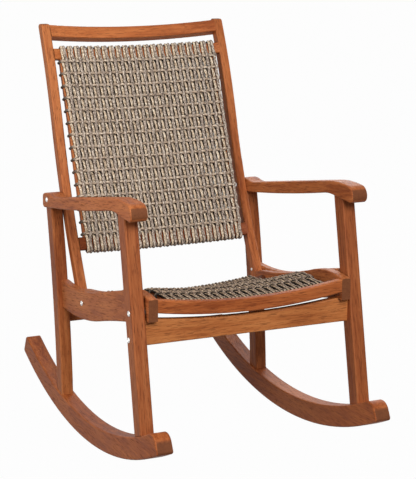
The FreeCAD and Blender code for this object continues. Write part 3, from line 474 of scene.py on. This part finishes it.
def makeBackWeave():
    half, pairs = back["half"], back["pairs"]
    pitch = 2 * half / pairs
    middle = -half + (np.arange(pairs) + 0.5) * pitch
    lowRail, highRail = back["lowerRail"], back["upperRail"]
    thick = back["railThick"]
    rng = np.random.default_rng(7)
    made = []
    # offset from the pair's middle, nudge on the rails, sway between the rows and dip at a row
    for name, radius, offset, nudge, material, sway, dip, power in (
        ("backPaleCords", back["pale"], -4.0, -0.4, paleCord, 1.4, 5.5, 2),
        ("backGreyCords", back["grey"], 5.9, -1.7, greyCord, 0.4, -3.3, 3),
    ):
        gap = radius + 0.25
        # up behind the rails, over the upper one, down the front, under the lower one and up again
        route = roundedRoute([
            (thick + gap, highRail[0]), (thick + gap, highRail[1] + gap), (-gap, highRail[1] + gap),
            (-gap, lowRail[0] - gap), (thick + gap, lowRail[0] - gap), (thick + gap, lowRail[1])],
            gap + 3.5, back["spacing"])
        climb = np.arange(lowRail[1], highRail[0], back["rearSpacing"])
        halfway = len(climb) // 2
        rear = np.stack([np.full(len(climb), thick + gap), climb], axis=1)
        route = np.concatenate([rear[halfway:], route, rear[1:halfway + 1]])
        b, t = route[:, 0], route[:, 1]
        front = (b < 0) & (t > lowRail[0]) & (t < highRail[1])
        wave, phase, inside = rowWave(t, back["firstRow"], back["lastRow"], back["rows"], power)
        b = b + np.where(front, dip * wave, 0)
        # from one row up to the next the cords sway from right to left
        drift = np.where(front, inside * np.clip((0.5 - phase) * 2.6, -1, 1), 0) * sway
        # on the rails the two cords of a pair lie close together, but not under the lower one
        drift = drift + nudge * (1 - inside) * np.clip((t - lowRail[0] - 2) / 10, 0, 1)
        slack = rng.normal(0, cord["slack"], (pairs, 1))
        # behind the rails the cords lie further right, where they close the gaps seen from the front
        x = middle[:, None] + offset + drift + slack + back["rearShift"] * np.clip(b / thick, 0, 1)
        paths = onBack(x, np.broadcast_to(b, x.shape), np.broadcast_to(t, x.shape))
        made.append(cordTubes(name, paths, radius * 0.001, np.array((1.0, 0, 0)), material, 11 + len(made)))
    # cross rows: before the pale cords, behind the grey ones, and once round each side strip
    radius = back["cross"]
    gap = radius + 0.3
    spacing, level = back["crossSpacing"], back["crossLevel"]
    across = np.linspace(-half + 4, half - 4, int(2 * half / spacing))
    wave = np.cos(2 * np.pi * (across + half - pitch / 2 + back["crossPhase"]) / pitch)
    fade = np.clip((half - np.abs(across)) / 12, 0, 1)
    depth = level - back["crossRise"] * wave * fade
    inner = back["stripInner"] - gap
    snug, behind = half + 0.3, bowAt(back["stripInner"]) + back["stripDepth"] + 1.5
    loop = roundedRoute([
        (half - 4, level), (snug, level), (snug, behind), (inner, behind), (inner, 3.0)], gap + 0.5, spacing)
    right = loop[1:]
    left = loop[:0:-1] * (-1, 1)
    x = np.concatenate([left[:, 0], across, right[:, 0]])
    b = np.concatenate([left[:, 1], depth, right[:, 1]])
    rows = np.linspace(back["firstRow"], back["lastRow"], back["rows"])
    ripple = cord["ripple"] * np.sin(2 * np.pi * (x + half) / pitch + 0.6)
    t = rows[:, None] + ripple + rng.normal(0, cord["rowSlack"], (back["rows"], 1))
    bowed = np.clip(x, -back["bowHalf"], back["bowHalf"])
    paths = onBack(np.broadcast_to(bowed, t.shape), np.broadcast_to(b, t.shape), t)
    up = np.array((0, math.sin(back["lean"]), math.cos(back["lean"])))
    made.append(cordTubes("backCrossCords", paths, radius * 0.001, up, backCross, 23))
    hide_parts("back_weave")
    print("back woven,", sum(len(piece.data.polygons) for piece in made), "faces")


makeBackWeave()

# the seat: a line from front to rear through stations (y, z), dished across
seat = {
    "stations": [
        (-344.0, 461.0), (-319.0, 461.0), (-230.5, 461.5), (-112.5, 419.5), (48.5, 385.0), (73.5, 385.0)],
    "dish": 21.0, "dishHalf": 257.0, "half": 220.0, "drop": 8.8,
    "pairs": 21, "rows": 10, "firstRow": -279.0, "lastRow": 36.0,
    "frontRail": (-339.0, -319.0, 452.2), "rearRail": (48.5, 68.5, 376.2), "railHeight": 18.0,
    "stripInner": 204.0, "stripHeight": 22.0, "pale": 4.0, "grey": 4.3, "cross": 3.4, "spacing": 3.2,
    "lowSpacing": 8.0, "lowShift": 5.2, "topPoints": 118, "thinner": 0.2,
    "crossLevel": -4.6, "crossRise": 3.6, "crossSpacing": 2.4, "crossPhase": 3.4,
}


def dishAt(x):
    # an arc across the seat: how far it lies below the sides
    radius = (seat["dishHalf"] ** 2 + seat["dish"] ** 2) / (2 * seat["dish"])
    return seat["dish"] - radius + np.sqrt(radius ** 2 - x ** 2)


def seatTop(y):
    # smooth steps between the stations: cubic pieces whose slopes are those of the chords beside
    knots = np.array(seat["stations"])
    rise = np.diff(knots[:, 1]) / np.diff(knots[:, 0])
    slope = np.concatenate([[0], (rise[:-1] + rise[1:]) / 2, [0]])
    slope[1] = 0
    slope[-2] = 0
    spot = np.clip(np.searchsorted(knots[:, 0], y) - 1, 0, len(rise) - 1)
    width = np.diff(knots[:, 0])[spot]
    share = np.clip((y - knots[spot, 0]) / width, 0, 1)
    cube = share * share * (3 - 2 * share)
    bend = width * share * (1 - share)
    return knots[spot, 1] + (knots[spot + 1, 1] - knots[spot, 1]) * cube + bend * (
        slope[spot] * (1 - share) - slope[spot + 1] * share)


def makeSeatWeave():
    half, pairs = seat["half"], seat["pairs"]
    pitch = 2 * half / pairs
    middle = -half + (np.arange(pairs) + 0.5) * pitch
    rng = np.random.default_rng(19)
    frontRail, rearRail = seat["frontRail"], seat["rearRail"]
    made = []
    # offset from the pair's middle, nudge at the front, sway between the rows and dip at a row
    for name, radius, offset, nudge, material, sway, dip, power in (
        ("seatPaleCords", seat["pale"], -4.4, 2.4, paintedShadeSeatPale, 1.0, 2.6, 2),
        ("seatGreyCords", seat["grey"], 5.6, -2.0, paintedShadeSeatGrey, 0.4, -2.6, 3),
    ):
        gap = radius + 0.25
        frontLow = frontRail[2] - seat["railHeight"]
        rearLow = rearRail[2] - seat["railHeight"]
        # from below round the front rail, along the seat, round the rear rail and back below
        front = roundedRoute([
            (frontRail[1], frontLow - gap), (frontRail[0] - gap, frontLow - gap),
            (frontRail[0] - gap, frontRail[2] + gap), (frontRail[1], frontRail[2] + gap)],
            gap + 3.0, seat["spacing"])
        rear = roundedRoute([
            (rearRail[0], rearRail[2] + gap), (rearRail[1] + gap, rearRail[2] + gap),
            (rearRail[1] + gap, rearLow - gap), (rearRail[0], rearLow - gap)], gap + 3.0, seat["spacing"])
        along = np.linspace(frontRail[1], rearRail[0], seat["topPoints"])[1:-1]
        run = np.stack([along, seatTop(along) - seat["drop"] + gap], axis=1)
        below = np.arange(frontRail[1], rearRail[0], seat["lowSpacing"])
        chord = np.interp(below, (frontRail[1], rearRail[0]), (frontLow - gap, rearLow - gap))
        stripLow = seatTop(below) - seat["drop"] - seat["stripHeight"] - gap
        under = np.stack([below, np.minimum(chord, stripLow)], axis=1)
        halfway = len(below) // 2
        route = np.concatenate([under[halfway::-1], front, run, rear, under[:halfway - 1:-1]])
        onTop = np.zeros(len(route), bool)
        onTop[halfway + 1 + len(front):][:len(run)] = True
        y, z = route[:, 0], route[:, 1]
        wave, phase, inside = rowWave(y, seat["firstRow"], seat["lastRow"], seat["rows"], power)
        z = z - np.where(onTop, dip * wave, 0)
        drift = np.where(onTop, inside * np.clip((0.5 - phase) * 2.6, -1, 1), 0) * sway
        # below the rails the cords lie further right, where they close the gaps seen from above
        lower = np.clip((seatTop(y) - z) / seat["stripHeight"], 0, 1)
        # from the front rail's edge to the first row the two cords of a pair are drawn tight together
        tight = np.clip((seat["firstRow"] - y) / 10, 0, 1) * np.clip((y - frontRail[0] - 9) / 9, 0, 1)
        tight = tight * (lower < 0.6)
        drift = drift + nudge * tight
        slack = rng.normal(0, cord["slack"], (pairs, 1))
        x = middle[:, None] + offset + drift + slack + seat["lowShift"] * lower
        paths = np.stack(np.broadcast_arrays(x, y, z - dishAt(x)), axis=-1) * 0.001
        thin = radius * 0.001 * (1 - seat["thinner"] * tight)
        made.append(cordTubes(name, paths, thin, np.array((-1.0, 0, 0)), material, 31 + len(made)))
    radius = seat["cross"]
    gap = radius + 0.3
    spacing = seat["crossSpacing"]
    across = np.linspace(-half + 2, half - 2, int(2 * half / spacing))
    wave = np.cos(2 * np.pi * (across + half - pitch / 2 + seat["crossPhase"]) / pitch)
    fade = np.clip((half - np.abs(across)) / 12, 0, 1)
    height = seat["crossLevel"] + seat["crossRise"] * wave * fade
    low = -seat["drop"] - dishAt(seat["stripInner"]) + dishAt(half) - seat["stripHeight"] - gap
    inner, outer = seat["stripInner"] - gap, half + gap
    loop = roundedRoute([
        (half - 2, -4.4), (outer, -4.4), (outer, low), (inner, low), (inner, -13.0)], gap + 0.5, spacing)
    right = loop[1:]
    left = loop[:0:-1] * (-1, 1)
    x = np.concatenate([left[:, 0], across, right[:, 0]])
    rise = np.concatenate([left[:, 1], height, right[:, 1]])
    rows = np.linspace(seat["firstRow"], seat["lastRow"], seat["rows"])
    ripple = cord["ripple"] * np.sin(2 * np.pi * (x + half) / pitch + 0.6)
    y = rows[:, None] + ripple + rng.normal(0, cord["rowSlack"], (seat["rows"], 1))
    z = seatTop(rows)[:, None] + rise - dishAt(np.clip(x, -half, half))
    paths = np.stack(np.broadcast_arrays(x, y, z), axis=-1) * 0.001
    made.append(cordTubes("seatCrossCords", paths, radius * 0.001, np.array((0, 1.0, 0)), paintedShadeSeatCross, 43))
    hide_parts("seat_weave")
    print("seat woven,", sum(len(piece.data.polygons) for piece in made), "faces")


makeSeatWeave()

# stage: a white floor that keeps a soft shadow, a key lamp, weaker lamps round the chair and an even sky
stage = {
    "floor": 60.0, "white": 0.98, "grey": 0.12, "sky": 0.11, "aim": (0.0, 0.0, 0.5),
    # place, power and width of each lamp
    "lamps": {
        "keyLamp": ((-0.8, -4.5, 3.2), 212.0, 1.9), "leftLamp": ((-1.65, -0.45, 1.3), 18.0, 1.3),
        "rightLamp": ((1.9, 0.4, 1.2), 13.0, 1.3), "rearLamp": ((2.5, 3.1, 2.3), 55.0, 2.2),
    },
}


def seenDirectly(tree):
    # 1 for what the camera sees straight on, in gloss or through glass, and otherwise 0
    rays = tree.nodes.new("ShaderNodeLightPath")
    seen = [Wire(tree, rays.outputs[f"Is {kind} Ray"]) for kind in ("Camera", "Glossy", "Transmission")]
    return (seen[0] + seen[1] + seen[2]).maths("MINIMUM", 1.0)


def makeStage():
    corners = np.array([(-1, -1, 0), (1, -1, 0), (1, 1, 0), (-1, 1, 0)]) * stage["floor"]
    mesh = bpy.data.meshes.new("floor")
    mesh.from_pydata(corners.tolist(), [], [(0, 1, 2, 3)])
    floor = bpy.data.objects.new("floor", mesh)
    bpy.context.scene.collection.objects.link(floor)
    material, start, shader = newMaterial("paleFloor")
    shader.inputs["Base Color"].default_value = (stage["grey"], stage["grey"], stage["grey"], 1)
    shader.inputs["Roughness"].default_value = 0.9
    share = seenDirectly(start.tree) * stage["white"]
    glow = start.node("ShaderNodeEmission", None, {"Color": (1, 1, 1, 1), "Strength": 1.0})
    matt = Wire(start.tree, shader.outputs[0])
    blended = start.node("ShaderNodeMixShader", None, {0: share, 1: matt, 2: glow})
    output = next(node for node in start.tree.nodes if node.type == "OUTPUT_MATERIAL")
    start.tree.links.new(blended.socket, output.inputs["Surface"])
    mesh.materials.append(material)

    world = bpy.data.worlds.new("studioSky")
    world.use_nodes = True
    bpy.context.scene.world = world
    tree = world.node_tree
    background = next(node for node in tree.nodes if node.type == "BACKGROUND")
    background.inputs["Color"].default_value = (1, 1, 1, 1)
    feed(stage["sky"] + seenDirectly(tree) * (stage["white"] - stage["sky"]), background, "Strength")

    for name, (place, power, width) in stage["lamps"].items():
        data = bpy.data.lights.new(name, "AREA")
        data.energy = power
        data.size = width
        lamp = bpy.data.objects.new(name, data)
        bpy.context.scene.collection.objects.link(lamp)
        aim = np.array(stage["aim"]) - np.array(place)
        lamp.matrix_world = lookMatrix(place, aim / np.linalg.norm(aim), 0.0)


def lookMatrix(place, direction, roll):
    # axes of a camera or lamp that looks along the direction, turned by roll about it
    right = np.array((direction[1], -direction[0], 0.0))
    right /= np.linalg.norm(right)
    up = np.cross(right, direction)
    across = math.cos(roll) * right + math.sin(roll) * up
    above = -math.sin(roll) * right + math.cos(roll) * up
    rows = np.eye(4)
    rows[:3, 0], rows[:3, 1], rows[:3, 2], rows[:3, 3] = across, above, -np.array(direction), place
    return Matrix(rows.tolist())


makeStage()

# the camera of the photograph, in an image 416 wide and 479 high
camera = {
    "place": (-1.63056, -3.54221, 1.38626), "yaw": 23.0465, "pitch": 11.0455, "roll": -0.0424,
    "focal": 1469.64, "width": 416.0, "shift": (0.1434, -0.0961),
}


def makeCamera():
    yaw, pitch, roll = (math.radians(camera[key]) for key in ("yaw", "pitch", "roll"))
    level = math.cos(pitch)
    direction = np.array((math.sin(yaw) * level, math.cos(yaw) * level, -math.sin(pitch)))
    data = bpy.data.cameras.new("photoCamera")
    data.sensor_fit = "HORIZONTAL"
    data.sensor_width = 36.0
    data.lens = camera["focal"] / camera["width"] * data.sensor_width
    data.shift_x, data.shift_y = camera["shift"]
    data.clip_end = 200.0
    made = bpy.data.objects.new("photoCamera", data)
    bpy.context.scene.collection.objects.link(made)
    made.matrix_world = lookMatrix(camera["place"], direction, roll)
    bpy.context.scene.camera = made


makeCamera()
bpy.context.scene.view_settings.view_transform = "Standard"
print("stage and camera set")
